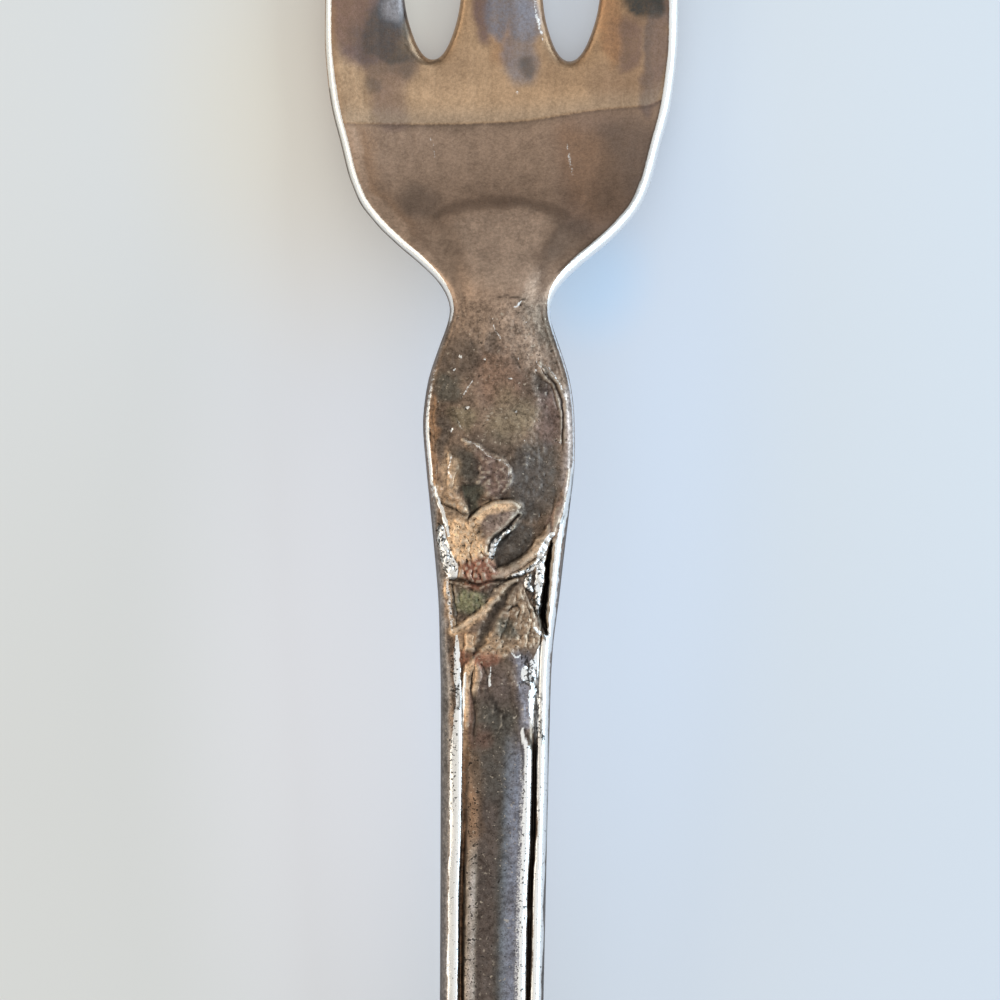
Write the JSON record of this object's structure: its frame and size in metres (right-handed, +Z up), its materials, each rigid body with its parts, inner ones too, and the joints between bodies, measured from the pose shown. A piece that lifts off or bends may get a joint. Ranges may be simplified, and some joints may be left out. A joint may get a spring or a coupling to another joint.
{
  "type": "oyster fork",
  "caption": "Oyster fork with a dished head, long tapering tines and a threaded handle with struck leaf and blossom ornament; worn silver plating on nickel silver.",
  "frame": {"origin": "under the middle of the fork's length, on the surface that the fork lies on face up", "axes": "+Y along the fork from the handle's end to the tine tips, +X across the tines, +Z up out of the face"},
  "size_m": [0.0194, 0.155, 0.009],
  "materials": {
    "nickel_silver": "bare worn metal, warm grey-yellow, where the plating has gone",
    "silver_plate": "tarnished silver plate with a warm brown patina, fine scratches, dark recesses and bright rubbed edges"
  },
  "bodies": {
    "root": {"nickel_silver_blank": "nickel_silver", "silver_plating": "silver_plate"}
  },
  "joints": []
}
